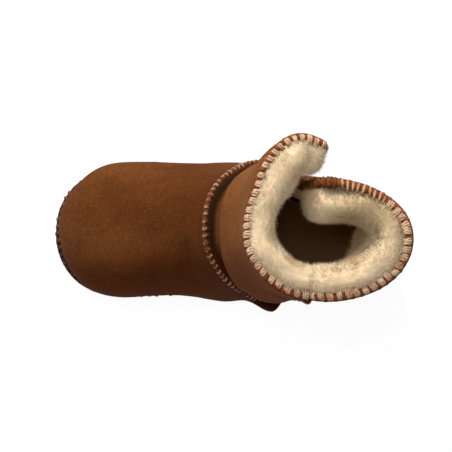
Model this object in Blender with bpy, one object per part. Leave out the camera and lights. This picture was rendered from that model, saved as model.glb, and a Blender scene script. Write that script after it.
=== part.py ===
"""A baby's sheepskin wrap bootie for the right foot: suede outside, deep wool inside.

The frame is +Z up, +Y to the heel, -Y to the toe, +X to the inner side of the foot and -X to the
outer side. The origin is under the middle of the bootie, on the floor.
Five pieces are sewn together: a soft sole, a wool insole, the vamp over the toes, a front panel
whose free end laps over the outer side, and a back panel round the heel. Each wall is one sheepskin,
suede and wool together, so its thickness is the two added up.
"""

import math

import bmesh
import bpy
from mathutils import Vector

MM = 0.001

# Sole: a soft piece that lies almost flat
SOLE_LENGTH = 124 * MM
SOLE_THICKNESS = 3.0 * MM
SOLE_RIM = 0.9 * MM
TOE_SPRING = 3.0 * MM
HEEL_CURL = 1.2 * MM
ARCH_LIFT = 1.4 * MM
ARCH_OUTER_SHARE = 0.55
EDGE_CURL = 0.8 * MM
CURL_START = 0.8
TOE_ROUND = 26 * MM
HEEL_ROUND = 24 * MM
TOE_Y = -SOLE_LENGTH / 2
HEEL_Y = SOLE_LENGTH / 2

# Half widths of the sole before its ends are rounded.
# place along the length, inner half, outer half
SOLE_WIDTHS = (
    (-62 * MM, 24.5 * MM, 23.5 * MM),
    (-35 * MM, 24.8 * MM, 24.3 * MM),
    (-15 * MM, 24.0 * MM, 24.3 * MM),
    (8 * MM, 22.5 * MM, 23.6 * MM),
    (22 * MM, 22.2 * MM, 21.2 * MM),
    (36 * MM, 22.0 * MM, 18.0 * MM),
    (62 * MM, 21.8 * MM, 17.4 * MM),
)
INNER_TOE_SQUARENESS = 2.35
OUTER_TOE_SQUARENESS = 2.1
HEEL_SQUARENESS = 2.2

# Where the sole touches the floor: the forefoot's flat and the heel's flat
FOREFOOT_FLAT = (-43 * MM, -13 * MM)
HEEL_FLAT = (15 * MM, 45 * MM)

# Walls: suede and wool together
GAP = 0.3 * MM
SEAT_GAP = 0.45 * MM
SEAM_INSET = 1.8 * MM
FOOT_WALL = 7.0 * MM
COLLAR_WALL = 10.4 * MM

# Vamp: the wide round toe
VAMP_TOE_Y = TOE_Y + SEAM_INSET
WIDEST_HEIGHT = 15 * MM
TOE_WALL_HEIGHT = 12 * MM
CREST_ROUND = 24 * MM
CREST_SQUARENESS = 2.0
# How far the soft sides swell out past the sole's edge.
# place along the length, inner side, outer side
VAMP_SWELL = (
    (-62 * MM, 0.9 * MM, 0.8 * MM),
    (-35 * MM, 1.0 * MM, 1.0 * MM),
    (-12 * MM, 2.2 * MM, 1.0 * MM),
    (2 * MM, 4.2 * MM, 1.3 * MM),
    (9 * MM, 3.2 * MM, 1.4 * MM),
    (20 * MM, 3.4 * MM, 1.6 * MM),
)
# place along the length, height of the ridge line over the toes
CREST = (
    (-62 * MM, 29 * MM),
    (-40 * MM, 35.5 * MM),
    (-22 * MM, 40 * MM),
    (-7 * MM, 46.5 * MM),
    (20 * MM, 60 * MM),
)
# The cross-section is square-shouldered over the toes and rounder towards the instep.
# place along the length, squareness of the arch
ARCH_SQUARENESS = (
    (-62 * MM, 2.5),
    (-30 * MM, 2.45),
    (-12 * MM, 2.2),
    (0 * MM, 2.05),
    (20 * MM, 2.05),
)

# Throat: the seam between vamp and front panel lies in one slanting plane
INSTEP = Vector((0, -4 * MM, 46.5 * MM))
THROAT_FOOT = Vector((0, 24 * MM, 3.3 * MM))
THROAT_DOWN = (THROAT_FOOT - INSTEP).normalized()
THROAT_NORMAL = Vector((0, -THROAT_DOWN.z, THROAT_DOWN.y))
THROAT_FITTING_STEPS = 12
VAMP_LIP_RUN = 5 * MM
FRONT_LIP_RUN = 3.2 * MM
# How far the turned-up seam stands proud. It flares out again low on the inner side, where the seams meet.
# place over the arch in degrees (0 the inner edge on the sole, 90 the crest), height
LIP = (
    (0, 3.2 * MM),
    (8, 5.2 * MM),
    (14, 4.8 * MM),
    (21, 2.4 * MM),
    (30, 1.0 * MM),
    (45, 1.0 * MM),
    (62, 2.4 * MM),
    (78, 4.1 * MM),
    (100, 4.1 * MM),
    (120, 2.6 * MM),
    (150, 1.1 * MM),
    (180, 1.1 * MM),
)

# Collar: an oval round the ankle, seen from above, whose outer end flares away as the flap
COLLAR_CENTRE = Vector((6 * MM, 35 * MM, 0))
COLLAR_HALF_WIDTH = 21 * MM
COLLAR_HALF_LENGTH = 28.2 * MM
SIDE_SEAM_TURN = -72
FLAP_TURN = 91
TUCKED_TURN = -287
TUCK_DRAWN_BACK = 8
OVERLAP_START = 0.46
OVERLAP_RUN = 0.36
SEAM_TURN_GAP = 0.9
# turn from the front towards the outer side in degrees, how far the edge stands off, height
COLLAR_EDGE = (
    (-287, 0, 86.5 * MM),
    (-250, 0, 88.0 * MM),
    (-180, 0, 89.5 * MM),
    (-72, 0, 88.5 * MM),
    (0, 0.4 * MM, 87.0 * MM),
    (30, 4.4 * MM, 87.2 * MM),
    (45, 9.2 * MM, 87.6 * MM),
    (62, 14.2 * MM, 87.6 * MM),
    (75, 16.0 * MM, 86.6 * MM),
    (91, 12.0 * MM, 82.0 * MM),
)

# How far the shaft swells out (or, below zero, draws in) between its foot and the collar.
# share of the way up, at the heel, at the sides, at the instep, at the tucked outer end
SHAFT_SWELL = (
    (0.00, 0.0 * MM, 0.0 * MM, 0.0 * MM, 0.0 * MM),
    (0.12, 2.4 * MM, 2.2 * MM, -0.6 * MM, 1.4 * MM),
    (0.30, 2.6 * MM, 2.4 * MM, -2.0 * MM, 1.6 * MM),
    (0.42, 1.4 * MM, 2.0 * MM, -2.7 * MM, 0.8 * MM),
    (0.55, -0.4 * MM, 1.4 * MM, -3.0 * MM, -1.2 * MM),
    (0.80, -1.0 * MM, 0.5 * MM, -1.8 * MM, -1.2 * MM),
    (1.00, 0.0 * MM, 0.0 * MM, 0.0 * MM, 0.0 * MM),
)

# The flap is sewn down at its foot and stands off more and more above.
# share of the way up, share of the flap's full stand-off
FLAP_OPENING = (
    (0.00, 0.0),
    (0.28, 0.0),
    (0.42, 0.14),
    (0.55, 0.42),
    (0.75, 0.74),
    (1.00, 1.0),
)

# The flap's wool isn't held down, so it is deeper towards the free end and the top
FLAP_FLUFF = 1.2 * MM
FLUFF_TURNS = (35, 75)
FLUFF_START = 0.6

# Insole
INSOLE_THICKNESS = 5.5 * MM
INSOLE_RIM = 1.2 * MM

# How finely each piece is divided
SOLE_STATIONS = 34
SOLE_COLUMNS = 16
VAMP_STATIONS = 20
ARCH_STEPS = 28
SHAFT_ROWS = 15
ROW_CROWDING = 1.3
FRONT_COLUMNS = 28
BACK_COLUMNS = 30


def read_row(rows, place):
    """The columns of a table at one place, on a smooth curve through its rows."""
    last = len(rows) - 1
    place = min(max(place, rows[0][0]), rows[last][0])
    low = max(i for i in range(last) if rows[i][0] <= place)
    span = rows[low + 1][0] - rows[low][0]
    share = (place - rows[low][0]) / span
    columns = []
    for column in range(1, len(rows[0])):
        start = rows[low][column]
        end = rows[low + 1][column]
        before = max(low - 1, 0)
        after = min(low + 2, last)
        slope_in = (end - rows[before][column]) / (rows[low + 1][0] - rows[before][0])
        slope_out = (rows[after][column] - start) / (rows[after][0] - rows[low][0])
        columns.append(
            start * (1 + 2 * share) * (1 - share) ** 2
            + end * share**2 * (3 - 2 * share)
            + span * slope_in * share * (1 - share) ** 2
            - span * slope_out * share**2 * (1 - share)
        )
    return columns


def ease(value):
    """0 below 0, 1 above 1, and a smooth step between."""
    value = min(max(value, 0.0), 1.0)
    return value * value * (3 - 2 * value)


def round_end(share, squareness):
    """Width of a rounded end, 0 at its tip and 1 where the round stops."""
    share = min(max(share, 0.0), 1.0)
    return (1 - (1 - share) ** squareness) ** (1 / squareness)


def sole_half_width(y, inner_side, inset):
    """Half width of the sole, with its whole edge moved in by the inset."""
    halves = read_row(SOLE_WIDTHS, y)
    half = halves[0] if inner_side else halves[1]
    toe_squareness = INNER_TOE_SQUARENESS if inner_side else OUTER_TOE_SQUARENESS
    toe = round_end((y - TOE_Y - inset) / (TOE_ROUND - inset), toe_squareness)
    heel = round_end((HEEL_Y - inset - y) / (HEEL_ROUND - inset), HEEL_SQUARENESS)
    return (half - inset) * toe * heel


def floor_lift(x, y):
    """How far the underside of the sole is off the floor."""
    toe = TOE_SPRING * ease((FOREFOOT_FLAT[0] - y) / (FOREFOOT_FLAT[0] - TOE_Y))
    heel = HEEL_CURL * ease((y - HEEL_FLAT[1]) / (HEEL_Y - HEEL_FLAT[1]))
    arch_share = (y - FOREFOOT_FLAT[1]) / (HEEL_FLAT[0] - FOREFOOT_FLAT[1])
    arch_share = min(max(arch_share, 0.0), 1.0)
    across = ease(0.5 + x / (2 * SOLE_WIDTHS[0][1]))
    arch = ARCH_LIFT * math.sin(math.pi * arch_share) ** 2
    arch *= ARCH_OUTER_SHARE + (1 - ARCH_OUTER_SHARE) * across
    half = max(sole_half_width(y, x > 0, 0), 1 * MM)
    curl = EDGE_CURL * ease((abs(x) / half - CURL_START) / (1 - CURL_START))
    return max(toe, heel, curl) + arch


def on_sole(x, y):
    """Height of a piece that stands on the sole, just clear of it."""
    return floor_lift(x, y) + SOLE_THICKNESS + SEAT_GAP


def pad_grid(inset, stations, columns, height):
    """A sheet with the outline of the sole moved in by the inset."""
    rows = []
    for i in range(stations + 1):
        along = (1 - math.cos(math.pi * i / stations)) / 2
        y = TOE_Y + inset + (SOLE_LENGTH - 2 * inset) * along
        outer = sole_half_width(y, False, inset)
        inner = sole_half_width(y, True, inset)
        row = []
        for j in range(columns + 1):
            across = 2 * j / columns - 1
            x = across * (inner if across > 0 else outer)
            row.append(Vector((x, y, height(x, y))))
        rows.append(row)
    return rows


def edge_strip(sheet_a, sheet_b, side):
    """The faces between the long edges of two sheets of like layout."""
    return [[row_a[side], row_b[side]] for row_a, row_b in zip(sheet_a, sheet_b)]


def pad_patches(inset, thickness, rim, underside):
    """A pad with a rounded rim: underside, top, and the rim's widest line between them."""
    bottom = pad_grid(inset + rim, SOLE_STATIONS, SOLE_COLUMNS, underside)
    widest = pad_grid(inset, SOLE_STATIONS, SOLE_COLUMNS, lambda x, y: underside(x, y) + thickness / 2)
    top = pad_grid(inset + rim, SOLE_STATIONS, SOLE_COLUMNS, lambda x, y: underside(x, y) + thickness)
    patches = [bottom, top]
    for side in (0, -1):
        patches.append(edge_strip(bottom, widest, side))
        patches.append(edge_strip(widest, top, side))
    return patches


def foot_point(y, angle, depth):
    """A point of the vamp: angle 0 is its inner edge on the sole, 90 the crest, 180 the outer edge."""
    cosine = math.cos(angle)
    sine = math.sin(angle)
    inner_side = cosine > 0
    tip = VAMP_TOE_Y + depth
    side = 0 if inner_side else 1
    swell = read_row(VAMP_SWELL, y)[side]
    full = read_row(SOLE_WIDTHS, y)[side] + swell - depth
    squareness = INNER_TOE_SQUARENESS if inner_side else OUTER_TOE_SQUARENESS
    half = full * round_end((y - tip) / (TOE_ROUND - SEAM_INSET - depth), squareness)
    doming = round_end((y - tip) / (CREST_ROUND - depth), CREST_SQUARENESS)
    crest = TOE_WALL_HEIGHT + (read_row(CREST, y)[0] - depth - TOE_WALL_HEIGHT) * doming
    arch = read_row(ARCH_SQUARENESS, y)[0]
    x = half * math.copysign(abs(cosine) ** (2 / arch), cosine)
    base = on_sole(x, y)
    rise = (crest - base) * sine ** (2 / arch)
    low = max(1 - rise / WIDEST_HEIGHT, 0)
    x -= (swell + SEAM_INSET) * low**2 * (x / full)
    return Vector((x, y, on_sole(x, y) + rise))


def throat_point(angle, depth):
    """Where the vamp's wall meets the slanting plane of the throat seam."""
    y = INSTEP.y
    for _ in range(THROAT_FITTING_STEPS):
        height = foot_point(y, angle, depth).z
        share = (INSTEP.z - height) / (INSTEP.z - THROAT_FOOT.z)
        y = INSTEP.y + (THROAT_FOOT.y - INSTEP.y) * share
    return foot_point(y, angle, depth)


def lip_direction(angle):
    """Outwards from the wall along the plane of the throat seam."""
    outwards = Vector((math.cos(angle), 0, math.sin(angle)))
    outwards -= THROAT_NORMAL * outwards.dot(THROAT_NORMAL)
    return outwards.normalized()


def lip(angle, distance, run):
    """The turned-up seam's stand-off at some distance from the seam."""
    height = read_row(LIP, math.degrees(angle))[0]
    return lip_direction(angle) * height * ease(1 - distance / run)


def vamp_grid(depth, has_lip):
    """The vamp's outer face at depth 0, or its wool face at the depth of the wall."""
    rows = []
    for i in range(VAMP_STATIONS + 1):
        share = 1 - math.cos(math.pi / 2 * i / VAMP_STATIONS)
        row = []
        for j in range(ARCH_STEPS + 1):
            angle = math.pi * j / ARCH_STEPS
            end = throat_point(angle, depth)
            tip = VAMP_TOE_Y + depth
            point = foot_point(tip + (end.y - tip) * share, angle, depth)
            if has_lip:
                point += lip(angle, (end - point).length, VAMP_LIP_RUN)
            row.append(point)
        rows.append(row)
    return rows


def collar_outline(turn, opening):
    """The collar's outer edge from above, in polar form round the middle of the ankle."""
    angle = math.radians(turn)
    length_part = math.cos(angle) / COLLAR_HALF_LENGTH
    width_part = math.sin(angle) / COLLAR_HALF_WIDTH
    radius = 1 / math.hypot(length_part, width_part) + read_row(COLLAR_EDGE, turn)[0] * opening
    return COLLAR_CENTRE + Vector((-math.sin(angle), -math.cos(angle), 0)) * radius


def collar_outwards(turn, opening):
    """The horizontal direction out of the collar's wall."""
    along = collar_outline(turn + 1, opening) - collar_outline(turn - 1, opening)
    return Vector((-along.y, along.x, 0)).normalized()


def collar_point(turn, opening, depth):
    """A point of the collar's edge, moved in by the depth."""
    point = collar_outline(turn, opening) - collar_outwards(turn, opening) * depth
    point.z = read_row(COLLAR_EDGE, turn)[1]
    return point


def shaft_swell(turn, up):
    """How far the shaft's wall stands out at one place."""
    heel, side, instep, wing = read_row(SHAFT_SWELL, up)
    if turn > SIDE_SEAM_TURN:
        share = math.cos(math.radians(90 * min(abs(turn / SIDE_SEAM_TURN), 1))) ** 2
        return side + (instep - side) * share
    if turn > -180:
        share = math.sin(math.radians(90 * (turn - SIDE_SEAM_TURN) / (-180 - SIDE_SEAM_TURN))) ** 2
        return side + (heel - side) * share
    share = ease((turn + 180) / (TUCKED_TURN + 180))
    return heel + (wing - heel) * share


def front_point(across, up, inside):
    """A point of the front panel: across runs from the inner side seam to the free end of the flap."""
    angle = math.pi * across
    foot = throat_point(angle, FOOT_WALL if inside else 0) + THROAT_NORMAL * GAP
    reach = (FLAP_TURN + SIDE_SEAM_TURN) * ease((up - OVERLAP_START) / OVERLAP_RUN)
    turn = SIDE_SEAM_TURN * (1 - 2 * across) + reach * across**3
    flare = read_row(COLLAR_EDGE, turn)[0] * (read_row(FLAP_OPENING, up)[0] - up)
    edge = collar_point(turn, 1, COLLAR_WALL if inside else 0)
    point = foot.lerp(edge, up)
    point += collar_outwards(turn, 0) * (shaft_swell(turn, up) + flare)
    if inside:
        towards_end = ease((turn - FLUFF_TURNS[0]) / (FLUFF_TURNS[1] - FLUFF_TURNS[0]))
        towards_top = ease((up - FLUFF_START) / (1 - FLUFF_START))
        return point - collar_outwards(turn, 0) * FLAP_FLUFF * towards_end * towards_top
    return point + lip(angle, (point - foot).length, FRONT_LIP_RUN)


def back_foot(across, inset):
    """The back panel's lower edge on the sole, from the inner side seam round the heel."""
    angle = math.pi * across
    start = THROAT_FOOT.y + 2 * GAP
    y = start + (HEEL_Y - inset - start) * math.sin(angle)
    x = sole_half_width(y, angle < math.pi / 2, inset) * (1 if angle < math.pi / 2 else -1)
    return Vector((x, y, on_sole(x, y)))


def back_point(across, up, inside):
    """A point of the back panel: across runs from the inner side seam to the tucked outer end."""
    foot = back_foot(across, SEAM_INSET + (FOOT_WALL if inside else 0))
    start = SIDE_SEAM_TURN - SEAM_TURN_GAP
    end = TUCKED_TURN + TUCK_DRAWN_BACK * ease((up - OVERLAP_START) / OVERLAP_RUN)
    turn = start + (end - start) * across
    edge = collar_point(turn, 0, COLLAR_WALL if inside else 0)
    return foot.lerp(edge, up) + collar_outwards(turn, 0) * shaft_swell(turn, up)


def wall_patches(outer, inner, closed_start):
    """The faces of a wall between two sheets of like layout, with its rims."""
    patches = [outer, inner, edge_strip(outer, inner, 0), edge_strip(outer, inner, -1)]
    patches.append([list(pair) for pair in zip(outer[-1], inner[-1])])
    if not closed_start:
        patches.append([list(pair) for pair in zip(outer[0], inner[0])])
    return patches


def make_solid(name, patches, material, collection):
    """One closed piece from patches that share their edges."""
    mesh = bpy.data.meshes.new(name)
    shape = bmesh.new()
    for patch in patches:
        grid = [[shape.verts.new(point) for point in row] for row in patch]
        for row, next_row in zip(grid, grid[1:]):
            for j in range(len(row) - 1):
                shape.faces.new((row[j], row[j + 1], next_row[j + 1], next_row[j]))
    bmesh.ops.remove_doubles(shape, verts=shape.verts, dist=0.001 * MM)
    bmesh.ops.recalc_face_normals(shape, faces=shape.faces)
    shape.to_mesh(mesh)
    shape.free()
    mesh.materials.append(material)
    mesh.shade_smooth()
    mesh.set_sharp_from_angle(angle=math.radians(40))
    piece = bpy.data.objects.new(name, mesh)
    collection.objects.link(piece)
    return piece


def make_material(name, colour, roughness):
    """A plain finish."""
    material = bpy.data.materials.new(name)
    material.use_nodes = True
    shader = material.node_tree.nodes["Principled BSDF"]
    shader.inputs["Base Color"].default_value = (*colour, 1)
    shader.inputs["Roughness"].default_value = roughness
    shader.inputs["Metallic"].default_value = 0
    return material


def make_sole(collection):
    """The suede sole, its rim turned out past the upper to take the seam."""
    suede = make_material("sole_suede", (0.075, 0.030, 0.010), 0.95)
    patches = pad_patches(0, SOLE_THICKNESS, SOLE_RIM, floor_lift)
    return make_solid("sole", patches, suede, collection)


def make_insole(collection):
    """The sheepskin insole, wool up, inside the foot of the walls."""
    wool = make_material("insole_wool", (0.66, 0.50, 0.31), 1.0)
    inset = SEAM_INSET + FOOT_WALL + GAP
    patches = pad_patches(inset, INSOLE_THICKNESS, INSOLE_RIM, on_sole)
    return make_solid("insole", patches, wool, collection)


def make_vamp(collection):
    """The toe piece: hollow, open at the throat and underneath."""
    suede = make_material("vamp_suede", (0.105, 0.040, 0.014), 0.95)
    patches = wall_patches(vamp_grid(0, True), vamp_grid(FOOT_WALL, False), closed_start=True)
    return make_solid("vamp", patches, suede, collection)


def make_front_panel(collection):
    """The front of the shaft, sewn to the vamp at the throat, its outer end a free flap."""
    suede = make_material("front_panel_suede", (0.162, 0.066, 0.024), 0.95)
    sheets = []
    for inside in (False, True):
        sheet = []
        for i in range(SHAFT_ROWS + 1):
            up = (i / SHAFT_ROWS) ** ROW_CROWDING
            sheet.append([front_point(j / FRONT_COLUMNS, up, inside) for j in range(FRONT_COLUMNS + 1)])
        sheets.append(sheet)
    patches = wall_patches(sheets[0], sheets[1], closed_start=False)
    return make_solid("front_panel", patches, suede, collection)


def make_back_panel(collection):
    """The back of the shaft round the heel, its outer end tucked inside the flap."""
    suede = make_material("back_panel_suede", (0.120, 0.048, 0.017), 0.95)
    sheets = []
    for inside in (False, True):
        sheet = []
        for i in range(SHAFT_ROWS + 1):
            up = (i / SHAFT_ROWS) ** ROW_CROWDING
            sheet.append([back_point(j / BACK_COLUMNS, up, inside) for j in range(BACK_COLUMNS + 1)])
        sheets.append(sheet)
    patches = wall_patches(sheets[0], sheets[1], closed_start=False)
    return make_solid("back_panel", patches, suede, collection)


def centre_over_origin(pieces):
    """Move every piece alike, so that the origin is under the middle of the whole bootie."""
    corners = [vertex.co for piece in pieces for vertex in piece.data.vertices]
    middle_x = (min(c.x for c in corners) + max(c.x for c in corners)) / 2
    middle_y = (min(c.y for c in corners) + max(c.y for c in corners)) / 2
    for piece in pieces:
        for vertex in piece.data.vertices:
            vertex.co -= Vector((middle_x, middle_y, 0))


def main():
    for leftover in list(bpy.data.objects):
        bpy.data.objects.remove(leftover)
    collection = bpy.data.collections.new("baby_bootie")
    bpy.context.scene.collection.children.link(collection)
    pieces = [
        make_sole(collection),
        make_insole(collection),
        make_vamp(collection),
        make_front_panel(collection),
        make_back_panel(collection),
    ]
    centre_over_origin(pieces)


main()
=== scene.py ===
"""The looks of a baby's sheepskin wrap bootie for the right foot.

Napped suede outside, deep wool inside, and thick overcast stitching round every edge. The frame is
+Z up, +Y to the heel, -Y to the toe, +X to the inner side of the foot, -X to the outer side.
"""

import math

import bmesh
import bpy
import numpy as np
from mathutils import Matrix, Vector, noise
from mathutils.bvhtree import BVHTree
from mathutils.kdtree import KDTree


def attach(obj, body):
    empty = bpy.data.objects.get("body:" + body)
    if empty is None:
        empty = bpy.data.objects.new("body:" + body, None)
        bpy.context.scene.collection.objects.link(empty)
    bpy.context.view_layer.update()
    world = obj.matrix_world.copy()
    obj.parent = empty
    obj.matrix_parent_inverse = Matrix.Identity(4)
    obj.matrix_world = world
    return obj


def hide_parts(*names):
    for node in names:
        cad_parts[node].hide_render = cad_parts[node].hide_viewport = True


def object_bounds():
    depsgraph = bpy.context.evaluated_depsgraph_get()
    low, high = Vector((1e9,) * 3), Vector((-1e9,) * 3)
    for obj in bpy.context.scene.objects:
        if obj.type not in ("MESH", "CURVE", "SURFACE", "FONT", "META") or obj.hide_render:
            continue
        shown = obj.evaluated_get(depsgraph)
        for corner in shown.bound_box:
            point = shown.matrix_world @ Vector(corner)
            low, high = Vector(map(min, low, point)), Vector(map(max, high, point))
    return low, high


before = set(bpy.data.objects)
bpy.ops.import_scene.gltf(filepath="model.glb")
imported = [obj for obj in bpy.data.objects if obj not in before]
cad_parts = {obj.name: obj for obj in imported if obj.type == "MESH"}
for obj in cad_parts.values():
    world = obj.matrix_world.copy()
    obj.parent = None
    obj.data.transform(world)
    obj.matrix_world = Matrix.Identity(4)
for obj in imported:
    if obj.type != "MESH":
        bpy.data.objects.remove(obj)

MM = 0.001
cad_low, cad_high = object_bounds()


# ---------------------------------------------------------------- studio
# A pale table under one wide soft light from the outer side of the foot, with light all round it,
# and a camera that looks straight down on the bootie from a little to its inner side.
SHOE_MIDDLE = (cad_low + cad_high) / 2
CAMERA_PLACE = (29.4 * MM, 0, 900 * MM)
CAMERA_TARGET = (0, 0, 40 * MM)
CAMERA_ANGLE = math.radians(10.6)

# light, place in metres, size in metres, watts, colour
LIGHTS = (
    ("window", (-0.84, -0.20, 0.58), 0.50, 15.0, (1.0, 0.985, 0.96)),
    ("ceiling", (-0.24, -0.12, 1.20), 0.50, 7.5, (1.0, 0.99, 0.98)),
)

# the walls of the room are white as high as the eye, and the ceiling is dim
WALLS = 0.95
DIM_CEILING = 0.16
WALLS_END = 0.10
CEILING_STARTS = 0.24
TABLE_SIZE = 6
TABLE_BELOW_SOLE = 0.05 * MM


def stand_facing(thing, place, target, upwards):
    """Puts a camera or a light at a place, facing a target, with one side of its view upwards."""
    back = (Vector(place) - Vector(target)).normalized()
    right = Vector(upwards).cross(back).normalized()
    up = back.cross(right)
    turn = Matrix((right, up, back)).transposed().to_4x4()
    thing.matrix_world = Matrix.Translation(Vector(place)) @ turn


def plug_in(tree, socket, value):
    """Feeds a socket from another node's output, or gives it a constant."""
    if isinstance(value, bpy.types.NodeSocket):
        tree.links.new(value, socket)
    else:
        socket.default_value = value


def add_node(tree, kind, plugs, **settings):
    """Adds a shader node: its settings first, then what goes into its sockets."""
    node = tree.nodes.new("ShaderNode" + kind)
    for setting, value in settings.items():
        setattr(node, setting, value)
    for plug, value in plugs.items():
        plug_in(tree, node.inputs[plug], value)
    return node


def ease_between(tree, value, start, stop, bottom=0.0, top=1.0):
    """Eases from bottom to top as a value goes from start to stop."""
    plugs = {"Value": value, "From Min": start, "From Max": stop, "To Min": bottom, "To Max": top}
    return add_node(tree, "MapRange", plugs, interpolation_type="SMOOTHSTEP").outputs["Result"]


def new_finish(name, values):
    """A material with some values of its shader; gives its node tree and its shader too."""
    finish = bpy.data.materials.new(name)
    finish.use_nodes = True
    shader = finish.node_tree.nodes["Principled BSDF"]
    for socket, value in values.items():
        shader.inputs[socket].default_value = value
    return finish, finish.node_tree, shader


camera = bpy.data.objects.new("camera", bpy.data.cameras.new("camera"))
bpy.context.scene.collection.objects.link(camera)
camera.data.angle = CAMERA_ANGLE
camera.data.clip_start = 10 * MM
stand_facing(camera, CAMERA_PLACE, CAMERA_TARGET, (-1, 0, 0))
bpy.context.scene.camera = camera

for name, place, size, watts, colour in LIGHTS:
    light = bpy.data.objects.new(name, bpy.data.lights.new(name, "AREA"))
    bpy.context.scene.collection.objects.link(light)
    light.data.shape = "DISK"
    light.data.size = size
    light.data.energy = watts
    light.data.color = colour
    stand_facing(light, place, SHOE_MIDDLE, (0, 0, 1))

world = bpy.data.worlds.new("studio")
world.use_nodes = True
room = world.node_tree
looking = add_node(room, "TexCoord", {}).outputs["Generated"]
upwards = add_node(room, "SeparateXYZ", {"Vector": looking}).outputs["Z"]
steep = add_node(room, "Math", {0: upwards}, operation="ABSOLUTE").outputs["Value"]
brightness = ease_between(room, steep, WALLS_END, CEILING_STARTS, WALLS, DIM_CEILING)
plug_in(room, room.nodes["Background"].inputs["Strength"], brightness)
plug_in(room, room.nodes["Background"].inputs["Color"], (1, 1, 1, 1))
bpy.context.scene.world = world
bpy.context.scene.view_settings.view_transform = "Standard"

bpy.ops.object.select_all(action="DESELECT")
bpy.ops.mesh.primitive_plane_add(size=TABLE_SIZE, location=(0, 0, -TABLE_BELOW_SOLE))
table = bpy.context.object
table.name = "table"
table_values = {
    "Base Color": (0.10, 0.10, 0.10, 1),
    "Emission Color": (1, 1, 1, 1),
    "Emission Strength": 0.95,
    "Roughness": 0.9,
    "Specular IOR Level": 0.1,
}
table.data.materials.append(new_finish("table_white", table_values)[0])


# ---------------------------------------------------------------- sole
# One soft piece of thick suede, cut to the outline of the foot and sewn to the upper all round.
# It lies flat under heel and forefoot, and, as it lies by the floor, its suede is darkened by painted shade.

# the suede's own colour, where its nap lies dark, and where it lies light
SOLE_COLOURS = ((0.078, 0.031, 0.012), (0.035, 0.014, 0.006), (0.125, 0.058, 0.026))
# painted shade on the floor of the groove behind the throat seam
GROOVE_PAINTED_SHADE = (0.014, 0.0055, 0.0022)

# size and height of each roughness in mm, and where its noise starts
SOLE_ROUGHNESS = ((9, 0.25, 3.0), (2.2, 0.10, 11.0))

# how high up the suede is painted darker by the floor, and from where its inner side is painted darker and
# redder: both are painted shade
FLOOR_PAINTED_SHADE = (18 * MM, 5 * MM)
INNER_SIDE_PAINTED_SHADE = (2 * MM, 24 * MM)


def pick(piece):
    """Makes one piece the only one that is selected, and the active one."""
    bpy.ops.object.select_all(action="DESELECT")
    piece.select_set(True)
    bpy.context.view_layer.objects.active = piece


def cut_piece_copy(node, name):
    """A copy of a cut piece to work on, its loose triangles merged and joined back into squares."""
    piece = bpy.data.objects.new(name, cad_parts[node].data.copy())
    piece.data.name = name
    piece.data.materials.clear()
    bpy.context.scene.collection.objects.link(piece)
    pick(piece)
    bpy.ops.mesh.customdata_custom_splitnormals_clear()
    bpy.ops.object.mode_set(mode="EDIT")
    bpy.ops.mesh.select_all(action="SELECT")
    bpy.ops.mesh.remove_doubles(threshold=0.001 * MM)
    bpy.ops.mesh.mark_sharp(clear=True)
    bpy.ops.mesh.tris_convert_to_quads(face_threshold=math.radians(40), shape_threshold=math.radians(80))
    bpy.ops.mesh.faces_shade_smooth()
    bpy.ops.object.mode_set(mode="OBJECT")
    return piece


def apply_modifier(piece, kind, **settings):
    """Adds a modifier with its settings and applies it."""
    pick(piece)
    modifier = piece.modifiers.new(kind.lower(), kind)
    for setting, value in settings.items():
        setattr(modifier, setting, value)
    bpy.ops.object.modifier_apply(modifier=modifier.name)


def subdivide_smooth(piece, levels):
    """Rounds a coarse piece by subdivision."""
    apply_modifier(piece, "SUBSURF", levels=levels, render_levels=levels)


def points_of(piece):
    """The piece's points as an array."""
    points = np.empty(len(piece.data.vertices) * 3)
    piece.data.vertices.foreach_get("co", points)
    return points.reshape(-1, 3)


def normals_of(piece):
    """The piece's outward directions at its points."""
    normals = np.empty(len(piece.data.vertices) * 3, dtype=np.float32)
    piece.data.vertex_normals.foreach_get("vector", normals)
    return normals.reshape(-1, 3).astype(float)


def set_points(piece, points):
    """Moves the piece's points to new places."""
    piece.data.vertices.foreach_set("co", points.ravel())
    piece.data.update()


def rough_up(piece, size, height, start):
    """Moves a piece's points in and out by soft noise of one size, in mm."""
    points = points_of(piece)
    normals = normals_of(piece)
    shifted = points / (size * MM) + start
    lift = np.array([noise.noise(Vector(p)) for p in shifted])
    set_points(piece, points + normals * (lift * (height * MM))[:, None])


def grain(tree, place, scale, detail=2.0, rough=0.5, stretch=None, distortion=0.0):
    """Soft noise fixed to the piece, of so many grains to the metre."""
    if stretch:
        place = add_node(tree, "Mapping", {"Vector": place, "Scale": stretch}).outputs["Vector"]
    plugs = {"Vector": place, "Scale": scale, "Detail": detail, "Roughness": rough, "Distortion": distortion}
    return add_node(tree, "TexNoise", plugs).outputs["Fac"]


def blend(tree, share, below, above, strength=1.0):
    """Goes from one colour to another by some share. A colour is three numbers or an output."""
    scaled = add_node(tree, "Math", {0: share, 1: strength}, operation="MULTIPLY").outputs["Value"]
    mixed = add_node(tree, "Mix", {"Factor": scaled}, data_type="RGBA")
    for plug, colour in (("A", below), ("B", above)):
        plug_in(tree, mixed.inputs[plug], (*colour, 1) if isinstance(colour, tuple) else colour)
    return mixed.outputs["Result"]


def read_mark(tree, mark):
    """A share that is marked on the points of the piece."""
    return add_node(tree, "Attribute", {}, attribute_name=mark).outputs["Fac"]


def raised(tree, height, strength, depth, under=None):
    """Raises the surface by some noise, on top of another raised surface if there is one."""
    bump = add_node(tree, "Bump", {"Height": height, "Strength": strength, "Distance": depth * MM})
    if under:
        plug_in(tree, bump.inputs["Normal"], under)
    return bump.outputs["Normal"]


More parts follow.
